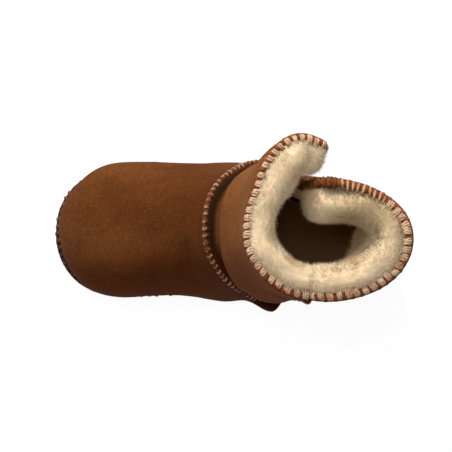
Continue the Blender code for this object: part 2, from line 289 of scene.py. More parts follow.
def suede(name, brown, dark, light, nap=1.0, pitted=0.40):
    """Napped suede: cloudy patches where the nap lies differently, fine grain, a soft sheen."""
    values = {
        "Roughness": 0.92,
        "Specular IOR Level": 0.03,
        "Sheen Weight": 0.03,
        "Sheen Roughness": 0.45,
        "Sheen Tint": (1.0, 0.60, 0.35, 1),
    }
    finish, tree, shader = new_finish(name, values)
    place = add_node(tree, "TexCoord", {}).outputs["Object"]

    # hand-sized clouds, thumb-sized brush marks and the grain of the nap itself
    clouds = ease_between(tree, grain(tree, place, 26, 2, 0.5, distortion=0.6), 0.36, 0.66)
    brush_marks = grain(tree, place, 95, 4, 0.62, stretch=(1.0, 0.55, 1.0), distortion=0.8)
    brushed = ease_between(tree, brush_marks, 0.34, 0.70)
    pores = ease_between(tree, grain(tree, place, 620, 5, 0.72), 0.30, 0.72)
    nap_ends = grain(tree, place, 1900, 3, 0.7)
    specks = ease_between(tree, nap_ends, 0.50, 0.72)
    pits = ease_between(tree, nap_ends, 0.48, 0.30)
    colour = blend(tree, clouds, brown, light, 0.42 * nap)
    colour = blend(tree, brushed, colour, dark, 0.34 * nap)
    colour = blend(tree, pores, colour, dark, pitted)
    colour = blend(tree, specks, colour, light, 0.55)
    colour = blend(tree, pits, colour, dark, 0.55)

    # darker beside the edges and round some patches, partly wear and partly painted shade;
    # painted shade in the grooves, near the floor and on the inner side
    where = add_node(tree, "SeparateXYZ", {"Vector": place}).outputs
    # painted shade on the inner side of the foot, darker and redder towards +X
    inner_side_shade = (dark[0] * 1.4, dark[1] * 0.72, dark[2] * 0.45)
    colour = blend(tree, read_mark(tree, "wear_and_shade"), colour, dark, 0.75)
    colour = blend(tree, read_mark(tree, "groove"), colour, GROOVE_PAINTED_SHADE, 0.93)
    colour = blend(tree, ease_between(tree, where["Z"], *FLOOR_PAINTED_SHADE), colour, dark, 0.80)
    colour = blend(tree, ease_between(tree, where["X"], *INNER_SIDE_PAINTED_SHADE), colour, inner_side_shade, 0.58)
    plug_in(tree, shader.inputs["Base Color"], colour)
    coarse = raised(tree, grain(tree, place, 520, 5, 0.7), 0.45, 0.25)
    fine = raised(tree, grain(tree, place, 2300, 3, 0.6), 0.50, 0.10, coarse)
    plug_in(tree, shader.inputs["Normal"], fine)
    return finish


sole = cut_piece_copy("sole", "sole_suede")
subdivide_smooth(sole, 2)
for each_roughness in SOLE_ROUGHNESS:
    rough_up(sole, *each_roughness)
sole_points = points_of(sole)
sole_points[:, 2] = np.maximum(sole_points[:, 2], 0)
set_points(sole, sole_points)
sole.data.materials.append(suede("sole_suede", *SOLE_COLOURS))
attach(sole, "root")
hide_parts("sole")


# ---------------------------------------------------------------- insole
# A sheepskin insole, wool side up, lying loose on the sole and pressed flat in the middle by the foot.
# Its wool is the lining's, but its colours are all painted shade, for down in the shoe where hardly any
# light comes.

# the wool's own colour, a darker yellow that it is mixed with, its tips, and its colour deep in the shoe,
# which is painted shade
LINING_COLOURS = ((0.68, 0.540, 0.355), (0.60, 0.455, 0.280), (0.74, 0.620, 0.440), (0.27, 0.165, 0.075))
# the insole's colours, all painted shade
INSOLE_PAINTED_SHADE = ((0.190, 0.108, 0.055), (0.125, 0.072, 0.037), (0.250, 0.155, 0.085), (0.125, 0.072, 0.037))
WOOL_DARKER_YELLOWER = (0.66, 0.63, 0.56)
DARK_TO_PALE = (44 * MM, 77 * MM)
DARKER_TOWARDS_HEEL = (30 * MM, 42 * MM)
DARKER_TOWARDS_OUTSIDE = (12 * MM, -2 * MM)
INSOLE_ROUGHNESS = ((5, 0.9, 5.0), (1.8, 0.45, 9.0))


def wool_finish(name, cream, shade, tip, deep, sheen, glow):
    """Dense wool: cream mixed at random with a darker yellow, paler at the tips of its hairs, deeply matt.

    glow stands for the light that passes from hair to hair.
    """
    values = {
        "Roughness": 1.0,
        "Specular IOR Level": 0.05,
        "Sheen Weight": sheen,
        "Sheen Roughness": 0.6,
        "Sheen Tint": (1.0, 0.93, 0.82, 1),
        "Emission Strength": glow,
    }
    finish, tree, shader = new_finish(name, values)
    place = add_node(tree, "TexCoord", {}).outputs["Object"]
    where = add_node(tree, "SeparateXYZ", {"Vector": place}).outputs
    locks = ease_between(tree, grain(tree, place, 170, 3), 0.36, 0.64)
    colour = blend(tree, locks, shade, cream)
    colour = blend(tree, read_mark(tree, "tip"), colour, tip)

    # the wool is darker and yellower towards the heel and the outer side
    towards_heel = ease_between(tree, where["Y"], *DARKER_TOWARDS_HEEL)
    towards_outside = ease_between(tree, where["X"], *DARKER_TOWARDS_OUTSIDE)
    darker_there = add_node(tree, "Math", {0: towards_heel, 1: towards_outside}, operation="MULTIPLY")
    darker_cream = tuple(part * share for part, share in zip(cream, WOOL_DARKER_YELLOWER))
    colour = blend(tree, darker_there.outputs["Value"], colour, darker_cream)
    # painted shade: the wool is painted darker down in the shoe, where hardly any light comes
    colour = blend(tree, ease_between(tree, where["Z"], *DARK_TO_PALE), deep, colour)
    plug_in(tree, shader.inputs["Base Color"], colour)
    plug_in(tree, shader.inputs["Emission Color"], colour)
    plug_in(tree, shader.inputs["Normal"], raised(tree, grain(tree, place, 900, 4), 0.3, 0.2))
    return finish


wool = wool_finish("lambswool", *LINING_COLOURS, sheen=0.16, glow=0.18)
insole = cut_piece_copy("insole", "insole_wool")
subdivide_smooth(insole, 2)
for each_roughness in INSOLE_ROUGHNESS:
    rough_up(insole, *each_roughness)
insole.data.materials.append(wool_finish("insole_wool", *INSOLE_PAINTED_SHADE, sheen=0.01, glow=0))
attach(insole, "root")
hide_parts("insole")


# ---------------------------------------------------------------- vamp
# The toe piece: one sheepskin moulded round over the toes, suede out and wool in. Its edge is turned
# up at the throat, and it has a few soft dents where hands have squeezed the toe.
VAMP_COLOURS = ((0.092, 0.0275, 0.0062), (0.036, 0.0090, 0.0019), (0.165, 0.0600, 0.0165))
SUEDE_THICKNESS = 1.5 * MM
HEART_OF_SHOE = (0, 22, 20)
VAMP_SEAT = (0, -30, 38)
SHEET_CORNER = 45
SMALLEST_FACE = 1 * MM**2
TOE_MERGE = 0.35 * MM
VAMP_ROUGHNESS = (16, 0.55, 21.0)
VAMP_EDGE_WEAR_AND_SHADE = 4.5 * MM

# start, end, way it is pushed in, depth and width of each soft fold in the vamp, in mm
VAMP_FOLDS = (
    ((-14, -22, 42), (9, -24, 43), (0.1, -0.1, -1), 0.7, 5.0),
    ((-20, -42, 24), (4, -44, 36), (0.25, 0.35, -1), 0.6, 6.5),
    ((4, -14, 45), (22, -12, 34), (-0.5, 0, -1), 0.8, 3.6),
    ((-24, -8, 28), (-12, -14, 43), (0.6, 0.1, -1), 0.7, 3.4),
    ((25, -30, 12), (23, -8, 18), (-1, 0, 0), 0.8, 4.0),
    ((-25, -26, 14), (-24, -4, 16), (1, 0, 0), 0.7, 4.5),
)

# place and way of each swelling, its height and width, in mm
SEAM_CORNER = ((29, 20, 13), (1, 0, 0), 2.0, 5.0)
VAMP_PUFFS = (SEAM_CORNER, ((26, 2, 15), (1, 0, 0), 1.3, 9.0))

# middle of each patch where the suede is painted darker, its size in mm, and how dark it is
# painted shade on the corner where the side seam meets the sole
SEAM_CORNER_PAINTED_SHADE = ((28, 17, 12), 9.0, 0.85)
VAMP_PATCHES = (
    ((-9, -13, 46), 11.0, 0.55),
    ((2, -20, 46), 13.0, 0.35),
    ((14, -14, 40), 12.0, 0.40),
    ((-9, -41, 38), 11.0, 0.35),
    SEAM_CORNER_PAINTED_SHADE,
)


def select_sheet(piece, place, corner=SHEET_CORNER, heart=HEART_OF_SHOE):
    """Selects the sheet of faces that runs on smoothly from the face nearest to a place.

    Faces that don't look out from the heart of the shoe are the cut ends of the wall, and stay out.
    """
    place = Vector(place) * MM
    faces = piece.data.polygons
    real = [face for face in faces if face.area > SMALLEST_FACE]
    start = min(real, key=lambda face: (face.center - place).length).index
    pick(piece)
    bpy.ops.object.mode_set(mode="EDIT")
    bpy.ops.mesh.select_mode(type="FACE")
    bpy.ops.mesh.select_all(action="DESELECT")
    bpy.ops.object.mode_set(mode="OBJECT")
    piece.data.polygons[start].select = True
    bpy.ops.object.mode_set(mode="EDIT")
    bpy.ops.mesh.faces_select_linked_flat(sharpness=math.radians(corner))
    bpy.ops.object.mode_set(mode="OBJECT")
    heart = Vector(heart) * MM
    for face in piece.data.polygons:
        if face.normal.dot((face.center - heart).normalized()) < 0.2:
            face.select = False


def edit_whole(piece, tool, **settings):
    """Runs a mesh tool on all of a piece."""
    pick(piece)
    bpy.ops.object.mode_set(mode="EDIT")
    bpy.ops.mesh.select_all(action="SELECT")
    tool(**settings)
    bpy.ops.object.mode_set(mode="OBJECT")


def drop_unselected():
    """Cuts the faces that aren't selected off the active piece."""
    bpy.ops.object.mode_set(mode="EDIT")
    bpy.ops.mesh.select_all(action="INVERT")
    bpy.ops.mesh.delete(type="FACE")
    bpy.ops.object.mode_set(mode="OBJECT")


def outer_sheet(node, name, place, heart=HEART_OF_SHOE):
    """The outer face of a cut piece as one open sheet, smoothly rounded."""
    sheet = cut_piece_copy(node, name)
    select_sheet(sheet, place, heart=heart)
    drop_unselected()
    subdivide_smooth(sheet, 2)
    return sheet


def wool_body(node, name, place, heart=HEART_OF_SHOE):
    """The wool of a cut piece: the whole wall, its outer face moved in under the suede."""
    body = cut_piece_copy(node, name)
    select_sheet(body, place, heart=heart)
    bpy.ops.object.mode_set(mode="EDIT")
    bpy.ops.transform.shrink_fatten(value=-SUEDE_THICKNESS * 0.9)
    bpy.ops.object.mode_set(mode="OBJECT")
    return body


def puff(piece, place, way, height, width):
    """Swells a piece out softly round one place, in mm."""
    points = points_of(piece)
    gap = np.linalg.norm(points - np.array(place) * MM, axis=1) / (width * MM)
    way = np.array(way, dtype=float)
    way /= np.linalg.norm(way)
    set_points(piece, points + np.exp(-(gap**2))[:, None] * way * height * MM)


def fold(piece, start, end, push, depth, width, ridge=0.35):
    """A soft trough along a line, pushed into the shoe, with a low ridge on each side of it."""
    points = points_of(piece)
    start = np.array(start) * MM
    line = np.array(end) * MM - start
    length = np.linalg.norm(line)
    push = np.array(push) / np.linalg.norm(push)
    share = np.clip((points - start) @ line / length**2, 0, 1)
    away = points - (start + share[:, None] * line)
    deep = away @ push
    sideways = np.linalg.norm(away - deep[:, None] * push, axis=1) / (width * MM)
    fade = np.sin(math.pi * np.clip(share, 0.02, 0.98)) ** 0.6
    trough = np.exp(-(sideways**2)) - ridge * np.exp(-((sideways - 1.7) ** 2) / 0.6)
    near = np.exp(-((deep / (16 * MM)) ** 4))
    set_points(piece, points + (fade * trough * near * depth * MM)[:, None] * push)


def shape_skin(piece, puffs, folds, roughnesses):
    """Gives a piece its swellings, then its folds, then its roughness."""
    for each_puff in puffs:
        puff(piece, *each_puff)
    for each_fold in folds:
        fold(piece, *each_fold)
    for each_roughness in roughnesses:
        rough_up(piece, *each_roughness)


def boundary(sheet):
    """The edge of an open sheet as a loop: its points, the way out of its face and the way past it."""
    shape = bmesh.new()
    shape.from_mesh(sheet.data)
    following = {}
    for edge in shape.edges:
        if len(edge.link_faces) == 1:
            corner = edge.link_loops[0]
            following[corner.vert] = corner.link_loop_next.vert
    start = next(iter(following))
    loop = [start]
    while following[loop[-1]] is not start:
        loop.append(following[loop[-1]])
    points = np.array([vertex.co for vertex in loop])
    outwards = np.array([vertex.normal for vertex in loop])
    shape.free()
    along = np.roll(points, -1, 0) - np.roll(points, 1, 0)
    past = np.cross(along, outwards)
    past /= np.linalg.norm(past, axis=1)[:, None]
    return points, outwards, past


def set_mark(piece, mark, shares):
    """Marks a share on each point of a piece, for its finish to read."""
    layer = piece.data.attributes.new(mark, "FLOAT", "POINT")
    layer.data.foreach_set("value", shares.astype(np.float32))


def mark_wear_and_shade(piece, edges, reach, patches):
    """Marks a piece dark beside some edges, as wear and painted shade, and round the middle of some patches,
    in mm.
    """
    points = points_of(piece)
    near = np.zeros(len(points))
    for place, size, share in patches:
        gap = np.linalg.norm(points - np.array(place) * MM, axis=1) / (size * MM)
        near = np.maximum(near, share * np.exp(-(gap**2)))
    for edge, share in edges:
        gap = np.full(len(points), 1.0)
        for place in edge[::3]:
            gap = np.minimum(gap, np.linalg.norm(points - place, axis=1))
        near = np.maximum(near, share * np.exp(-((gap / reach) ** 1.3)))
    set_mark(piece, "wear_and_shade", near)


vamp = outer_sheet("vamp", "vamp_suede", VAMP_SEAT)
edit_whole(vamp, bpy.ops.mesh.remove_doubles, threshold=TOE_MERGE)
shape_skin(vamp, VAMP_PUFFS, VAMP_FOLDS, [VAMP_ROUGHNESS])
mark_wear_and_shade(vamp, [(boundary(vamp)[0], 1.0)], VAMP_EDGE_WEAR_AND_SHADE, VAMP_PATCHES)

# the thickness is added inwards, and none of it may stand out past the toe
toe_end = points_of(vamp)[:, 1].min()
apply_modifier(vamp, "SOLIDIFY", thickness=SUEDE_THICKNESS, offset=-1)
vamp_points = points_of(vamp)
vamp_points[:, 1] = np.maximum(vamp_points[:, 1], toe_end)
set_points(vamp, vamp_points)
vamp_finish = suede("suede", *VAMP_COLOURS)
vamp.data.materials.append(vamp_finish)
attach(vamp, "root")
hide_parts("vamp")

vamp_wool = wool_body("vamp", "vamp_wool", VAMP_SEAT)
subdivide_smooth(vamp_wool, 1)
shape_skin(vamp_wool, [], VAMP_FOLDS, [])
vamp_wool.data.materials.append(wool)
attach(vamp_wool, "root")


# ---------------------------------------------------------------- front panel
# The front of the shaft, one sheepskin from the inner side seam round the instep to the free end of
# the flap. Its suede is coloured lighter than the vamp's, and it bends softly at the ankle.
FRONT_COLOURS = ((0.142, 0.049, 0.0128), (0.060, 0.0175, 0.0042), (0.220, 0.088, 0.0280))
FRONT_SEAT = (0, 4, 72)
INSIDE_THE_THROAT = np.array([0, 10, 15]) * MM
FRONT_ROUGHNESS = (16, 0.5, 31.0)
FRONT_WOOL_ROUGHNESS = ((7.0, 0.8, 41.0), (2.0, 0.15, 43.0))
FRONT_EDGE_WEAR_AND_SHADE = 3.0 * MM
WOOL_UNDER_SUEDE = 1.25 * MM
WOOL_FREE_BELOW = 5 * MM

# how far the groove lies from the throat seam, its width and depth, in mm; then what of it is painted dark
# as shade
GROOVE_IN_SUEDE = (2.8, 1.7, 2.6)
GROOVE_IN_WOOL = (2.8, 3.2, 4.0)
GROOVE_DARK = (0.3, 5.2)

# how far the wool is drawn down at the sewn edge, and how high its crown rises, in mm
RIM_DOWN_AND_UP = (0.7, 2.2)
FRONT_FOLDS = (
    ((-20, 2, 52), (14, 3, 56), (0, 1, -0.3), 0.8, 5.0),
    ((20, 8, 40), (27, 24, 50), (-1, 0.2, 0), 1.0, 4.0),
    ((22, 10, 62), (27, 26, 70), (-1, 0.3, 0), 0.7, 4.5),
    ((-22, 6, 40), (-27, 18, 50), (1, 0.2, 0), 0.8, 4.0),
)

# place and way of each swelling, its height and width, in mm
FRONT_PUFFS = (
    ((-13, 21, 80), (0.6, 0.6, 0), 4.0, 6.0),
    ((10, 20, 70), (-0.5, 0.7, 0.5), 4.4, 9.0),
)


def unit(vectors):
    """Each vector at length one."""
    return vectors / np.maximum(np.linalg.norm(vectors, axis=1), 1e-12)[:, None]


def smooth_run(values, passes, closed=False):
    """Evens out a run of places or directions."""
    for _ in range(passes):
        if closed:
            values = (np.roll(values, 1, 0) + 2 * values + np.roll(values, -1, 0)) / 4
        else:
            inner = (values[:-2] + 2 * values[1:-1] + values[2:]) / 4
            values = np.concatenate((values[:1], inner, values[-1:]))
    return values


def run_between(loop, first, last):
    """The stretch of an edge loop from the point nearest to one place on to that nearest another."""
    points, outwards, past = loop
    start = int(np.argmin(np.linalg.norm(points - np.array(first) * MM, axis=1)))
    stop = int(np.argmin(np.linalg.norm(points - np.array(last) * MM, axis=1)))
    count = (stop - start) % len(points) + 1
    order = [(start + i) % len(points) for i in range(count)]
    return points[order], outwards[order], past[order]


def corner_of(loop, towards):
    """The point of an edge loop that lies furthest in one direction, in mm."""
    points = loop[0]
    return points[int(np.argmax(points @ np.array(towards, dtype=float)))] / MM


def near_run(points, run):
    """For each point, the number of the nearest place in a run and its distance from it."""
    tree = KDTree(len(run[0]))
    for i, place in enumerate(run[0]):
        tree.insert(place, i)
    tree.balance()
    found = [tree.find(point)[1:] for point in points]
    return np.array([number for number, _ in found]), np.array([gap for _, gap in found])


def press_groove(piece, run, away, width, depth):
    """Presses a groove into a piece beside a raised seam, on the side that the run's first way points to."""
    points = points_of(piece)
    number, gap = near_run(points, run)
    beyond = np.sum((points - run[0][number]) * run[1][number], axis=1)
    shape = np.exp(-(((gap / MM - away) / width) ** 2)) * (beyond > 0)
    set_points(piece, points - run[2][number] * (shape * depth * MM)[:, None])


def mark_groove(piece, run, first, last):
    """Marks the floor of the groove beside a raised seam, which the light hardly reaches."""
    points = points_of(piece)
    number, gap = near_run(points, run)
    beyond = np.sum((points - run[0][number]) * run[1][number], axis=1) > -0.2 * MM
    middle = (first + last) / 2
    shape = np.clip(1.3 - np.abs(gap / MM - middle) / (last - middle), 0, 1)
    set_mark(piece, "groove", shape * beyond)


def settle_rim(body, run, low, high):
    """Draws the wool down beside the sewn edge and lets it rise to a soft crown further in."""
    points = points_of(body)
    number, gap = near_run(points, run)
    away = gap / MM
    top = run[0][number][:, 2]
    up = np.clip((points[:, 2] - top + 6 * MM) / (6 * MM), 0, 1)
    share = np.clip((away - 2.2) / 3.2, 0, 1)
    rise = high * share**2 * (3 - 2 * share)
    points[:, 2] += up * (rise - low * np.exp(-((away / 2.6) ** 4))) * MM
    set_points(body, points)


def swell(body, sheet, places):
    """Swells wool out softly round some places, in mm, and leaves it where it grows from the suede."""
    tree = BVHTree.FromObject(sheet, bpy.context.evaluated_depsgraph_get())
    free = np.array([tree.find_nearest(Vector(point))[3] for point in points_of(body)])
    free = np.clip((free - SUEDE_THICKNESS) / WOOL_FREE_BELOW, 0, 1)[:, None]
    start = points_of(body)
    for place, way, height, width in places:
        puff(body, place, way, height, width)
    set_points(body, start + (points_of(body) - start) * free)


def keep_under(body, sheet):
    """Moves the wool back in wherever it comes too near to the suede's outer face."""
    tree = BVHTree.FromObject(sheet, bpy.context.evaluated_depsgraph_get())
    points = points_of(body)
    for i, point in enumerate(points):
        near, facing, _, gap = tree.find_nearest(point)
        if gap < 4 * MM and (Vector(point) - near).dot(facing) > -WOOL_UNDER_SUEDE:
            points[i] = near - facing * WOOL_UNDER_SUEDE
    set_points(body, points)


def spare_sheet(piece):
    """A copy of a sheet before it is thickened, to measure its wool against."""
    sheet = piece.copy()
    sheet.data = piece.data.copy()
    bpy.context.scene.collection.objects.link(sheet)
    return sheet


front = outer_sheet("front_panel", "front_panel_suede", FRONT_SEAT)
shape_skin(front, [SEAM_CORNER], FRONT_FOLDS, [FRONT_ROUGHNESS])
front_edge = boundary(front)
front_side_foot = corner_of(front_edge, (1, 0.6, -1.2))
front_side_top = corner_of(front_edge, (1, 0, 1))
flap_foot = corner_of(front_edge, (-1, 0, -1))

# the throat seam lies in one plane, which faces the heel, and its edge looks out of the shoe
throat_low = run_between(front_edge, flap_foot, front_side_foot)[0]
throat_plane = np.linalg.svd(throat_low - throat_low.mean(0), full_matrices=False)[2][2]
throat_plane *= np.sign(throat_plane[1])
throat_past = unit(np.cross(unit(np.gradient(throat_low, axis=0)), throat_plane))
throat_past *= np.sign(np.sum(throat_past * (throat_low - INSIDE_THE_THROAT), axis=1))[:, None]
throat = (throat_low, np.tile(throat_plane, (len(throat_past), 1)), smooth_run(throat_past, 8))
press_groove(front, throat, *GROOVE_IN_SUEDE)
front_wear_and_shade = [(front_edge[0], 0.8), (throat[0], 1.0)]
mark_wear_and_shade(front, front_wear_and_shade, FRONT_EDGE_WEAR_AND_SHADE, [SEAM_CORNER_PAINTED_SHADE])
mark_groove(front, throat, *GROOVE_DARK)
front_sheet = spare_sheet(front)
apply_modifier(front, "SOLIDIFY", thickness=SUEDE_THICKNESS, offset=-1)
front.data.materials.append(suede("front_suede", *FRONT_COLOURS, nap=0.8))
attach(front, "root")
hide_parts("front_panel")

front_wool = wool_body("front_panel", "front_panel_wool", FRONT_SEAT)
subdivide_smooth(front_wool, 2)
press_groove(front_wool, throat, *GROOVE_IN_WOOL)
settle_rim(front_wool, run_between(front_edge, front_side_top, flap_foot), *RIM_DOWN_AND_UP)
shape_skin(front_wool, [], FRONT_FOLDS, FRONT_WOOL_ROUGHNESS)
swell(front_wool, front_sheet, FRONT_PUFFS)
for _ in range(3):
    keep_under(front_wool, front_sheet)
bpy.data.objects.remove(front_sheet)
front_wool.data.materials.append(wool)
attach(front_wool, "root")


# ---------------------------------------------------------------- back panel
# The back of the shaft, one sheepskin from the inner side seam round the heel to an end that is
# tucked inside the flap.
BACK_SEAT = (0, 62.8, 28)
HEART_OF_SHAFT = (0, 22, 60)
BACK_ROUGHNESS = (16, 0.5, 51.0)
BACK_WOOL_ROUGHNESS = ((7.0, 0.8, 61.0), (2.0, 0.15, 63.0))
BACK_EDGE_WEAR_AND_SHADE = 2.6 * MM
BACK_FOLDS = (
    ((-6, 60, 47), (22, 46, 52), (-0.4, -1, 0), 0.8, 4.5),
    ((-22, 44, 50), (-4, 60, 45), (0.5, -1, 0), 0.8, 4.5),
    ((24, 22, 34), (26, 42, 40), (-1, -0.2, 0), 0.9, 4.5),
    ((-24, 24, 36), (-24, 44, 40), (1, -0.2, 0), 0.9, 4.5),
    ((22, 50, 66), (8, 60, 70), (-0.5, -1, 0), 0.6, 5.0),
)

# place and way of each swelling of the wool, its height and width, in mm
WOOL_PUFFS = (
    ((-4, 34, 78), (1, -0.15, 0.05), 3.2, 11.5),
    ((6, 54, 78), (0, -1, 0), 1.4, 13.0),
    ((17, 42, 78), (-1, 0, 0), 1.6, 13.0),
    ((15, 50, 58), (-0.5, -1, 0), 2.6, 11.0),
    ((6, 54, 44), (0, -1, 0.1), 7.0, 12.0),
    ((-8, 34, 58), (1, -0.3, 0), 3.2, 11.5),
)

# the tucked end's wool is worn low beside its edge: middle from the corner, way, depth and width, in mm
TUCKED_WOOL_MIDDLE = np.array((2.0, 5.5, -1.0))
TUCKED_WOOL_PRESS = ((0.75, 0, -1), 4.6, 7.0)

back = outer_sheet("back_panel", "back_panel_suede", BACK_SEAT, HEART_OF_SHAFT)
shape_skin(back, [SEAM_CORNER], BACK_FOLDS, [BACK_ROUGHNESS])
back_edge = boundary(back)
mark_wear_and_shade(back, [(back_edge[0], 0.9)], BACK_EDGE_WEAR_AND_SHADE, [SEAM_CORNER_PAINTED_SHADE])
back_sheet = spare_sheet(back)
apply_modifier(back, "SOLIDIFY", thickness=SUEDE_THICKNESS, offset=-1)
back.data.materials.append(vamp_finish)
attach(back, "root")
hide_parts("back_panel")

back_wool = wool_body("back_panel", "back_panel_wool", BACK_SEAT, HEART_OF_SHAFT)
subdivide_smooth(back_wool, 2)
tucked_top = corner_of(back_edge, (-1, -2.2, 2))
back_side_top = corner_of(back_edge, (1, -1, 1))
tucked_foot = corner_of(back_edge, (-1, -1, -1))
collar_back = run_between(back_edge, tucked_top, back_side_top)
collar_back = (collar_back[0], unit(smooth_run(collar_back[1], 16)), unit(smooth_run(collar_back[2], 16)))
tucked_end = run_between(back_edge, tucked_foot, tucked_top)
settle_rim(back_wool, collar_back, *RIM_DOWN_AND_UP)
swell(back_wool, back_sheet, WOOL_PUFFS)
shape_skin(back_wool, [], BACK_FOLDS, BACK_WOOL_ROUGHNESS)
puff(back_wool, tucked_top + TUCKED_WOOL_MIDDLE, *TUCKED_WOOL_PRESS)
keep_under(back_wool, back_sheet)
bpy.data.objects.remove(back_sheet)
back_wool.data.materials.append(wool)
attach(back_wool, "root")


# ---------------------------------------------------------------- collar seam
# Every edge is closed by hand overcasting: thick soft thread in one to three strands goes over the
# edge again and again, and pulls the suede into a roll that swells out between the stitches. At the
# end tucked inside the flap the roll is worn and mottled, and the stitches are finer.

# each thread's own colour, its pale fibres and its dark ones; each rolled suede's as for the sole
COLLAR_THREAD = ((0.43, 0.280, 0.175), (0.55, 0.40, 0.275), (0.28, 0.140, 0.078))
TUCKED_THREAD = ((0.37, 0.205, 0.120), (0.50, 0.31, 0.20), (0.24, 0.11, 0.058))
ROLL_COLOURS = ((0.215, 0.062, 0.019), (0.090, 0.024, 0.0075), (0.32, 0.120, 0.048))
WORN_COLOURS = ((0.21, 0.064, 0.018), (0.040, 0.012, 0.004), (0.40, 0.150, 0.050))
COLLAR_PITCH = 3.1 * MM
FLAP_PITCH = 3.0 * MM
TUCKED_PITCH = 2.0 * MM
STITCH_SIDES = 5
STITCH_RINGS = 9
ROLL_SIDES = 14
ROLL_RINGS_A_PITCH = 6
ROLL_ROUGHNESS = (1.3, 0.30)

# how far a hand-sewn stitch leans, and how far it is out of place for its pitch
STITCH_LEAN = 0.06
STITCH_SHIFT = 0.05


def thread_finish(name, colour, pale, dark):
    """Soft spun thread, its colour a little uneven from stitch to stitch."""
    values = {
        "Roughness": 0.8,
        "Specular IOR Level": 0.25,
        "Sheen Weight": 0.12,
        "Sheen Roughness": 0.5,
        "Sheen Tint": (*pale, 1),
    }
    finish, tree, shader = new_finish(name, values)
    place = add_node(tree, "TexCoord", {}).outputs["Object"]
    spread = add_node(tree, "ValToRGB", {"Fac": grain(tree, place, 300, 3)})
    steps = spread.color_ramp.elements
    steps[0].position = 0.30
    steps[0].color = (*dark, 1)
    steps[1].position = 0.70
    steps[1].color = (*pale, 1)
    steps.new(0.46).color = (*colour, 1)
    plug_in(tree, shader.inputs["Base Color"], spread.outputs["Color"])
    plug_in(tree, shader.inputs["Normal"], raised(tree, grain(tree, place, 2600), 0.5, 0.12))
    return finish


def tube_faces(start, rings, sides):
    """The faces of a closed tube of rings of points, numbered on from start."""
    faces = []
    for ring in range(rings - 1):
        for side in range(sides):
            here = start + ring * sides + side
            beside = start + ring * sides + (side + 1) % sides
            faces.append((here, beside, beside + sides, here + sides))
    faces.append(tuple(start + side for side in reversed(range(sides))))
    faces.append(tuple(start + (rings - 1) * sides + side for side in range(sides)))
    return faces


def overcast_stitch(across, over, slant, strands, thickness):
    """One stitch over an edge: twisted strands along two thirds of an oval.

    across and over are the oval's middle and half size, in mm, across the edge and past it; x runs
    along the edge.
    """
    corners = []
    faces = []
    turns = np.linspace(math.radians(-28), math.radians(208), STITCH_RINGS)
    share = np.linspace(-0.5, 0.5, STITCH_RINGS)
    taper = np.clip(np.minimum(share + 0.5, 0.5 - share) * 8 + 0.45, 0.45, 1)
    for strand in range(strands):
        beside = (strand - (strands - 1) / 2) * thickness * 0.80
        high = 0.18 * thickness * (1 - abs(2 * strand - (strands - 1)) / strands)
        sideways = across[0] + (across[1] + high) * np.cos(turns)
        past = over[0] + (over[1] + high) * np.sin(turns)
        path = np.stack((share * slant + beside, sideways, past), 1)
        along = unit(np.gradient(path, axis=0))
        first = unit(np.tile((1.0, 0.0, 0.0), (STITCH_RINGS, 1)) - along * along[:, :1])
        second = np.cross(along, first)
        for ply in range(2):
            twist = share * 2 * math.pi * 1.3 + math.pi * ply + strand * 1.9
            offset = first * np.cos(twist)[:, None] + second * np.sin(twist)[:, None]
            core = path + offset * thickness * 0.15
            faces += tube_faces(len(corners), STITCH_RINGS, STITCH_SIDES)
            for ring in range(STITCH_RINGS):
                for side in range(STITCH_SIDES):
                    angle = 2 * math.pi * side / STITCH_SIDES
                    rim = first[ring] * math.cos(angle) + second[ring] * math.sin(angle)
                    corners.append(core[ring] + rim * thickness * 0.39 * taper[ring])
    return np.array(corners) * MM, faces


def mesh_piece(name, points, faces, finish):
    """A finished piece from its points and faces."""
    mesh = bpy.data.meshes.new(name)
    mesh.from_pydata(points.tolist(), [], faces)
    mesh.materials.append(finish)
    mesh.shade_smooth()
    piece = bpy.data.objects.new(name, mesh)
    bpy.context.scene.collection.objects.link(piece)
    return piece


def lengths_along(points):
    """How far along a run each of its points lies."""
    return np.concatenate(([0], np.cumsum(np.linalg.norm(np.diff(points, axis=0), axis=1))))


def even_run(run, step):
    """A stretch of edge with its places at even steps."""
    columns = np.hstack(run)
    at = lengths_along(run[0])
    count = max(int(round(at[-1] / step)), 2)
    wanted = np.linspace(0, at[-1], count + 1)
    evened = np.array([np.interp(wanted, at, column) for column in columns.T]).T
    return evened[:, :3], unit(evened[:, 3:6]), unit(evened[:, 6:9])


def trimmed(run, start, end):
    """A run without its first and last stretch, in mm."""
    at = lengths_along(run[0])
    keep = (at >= start * MM) & (at <= at[-1] - end * MM)
    return tuple(part[keep] for part in run)


def first_part(run, length):
    """The first stretch of a run, in mm."""
    keep = lengths_along(run[0]) <= length * MM
    return tuple(part[keep] for part in run)


def sew(name, rows, finish, seed, unevenness=0.09):
    """Sews stitches along edges. Each row is its run, its stitch and its pitch."""
    chance = np.random.default_rng(seed)
    points = []
    faces = []
    count = 0
    for run, (shape, shape_faces), pitch in rows:
        places, across, past = even_run(run, pitch)
        along = unit(np.cross(across, past))
        for i in range(len(places)):
            size = 1 + chance.normal(0, unevenness, 3)
            lean = chance.normal(0, STITCH_LEAN)
            x = shape[:, :1] * size[0] + shape[:, 1:2] * lean
            points.append(
                places[i] + along[i] * chance.normal(0, STITCH_SHIFT * pitch)
                + x * along[i]
                + shape[:, 1:2] * size[1] * across[i]
                + shape[:, 2:3] * size[2] * past[i]
            )
            faces.extend(tuple(count + corner for corner in face) for face in shape_faces)
            count += len(shape)
    piece = mesh_piece(name, np.concatenate(points), faces, finish)
    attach(piece, "root")


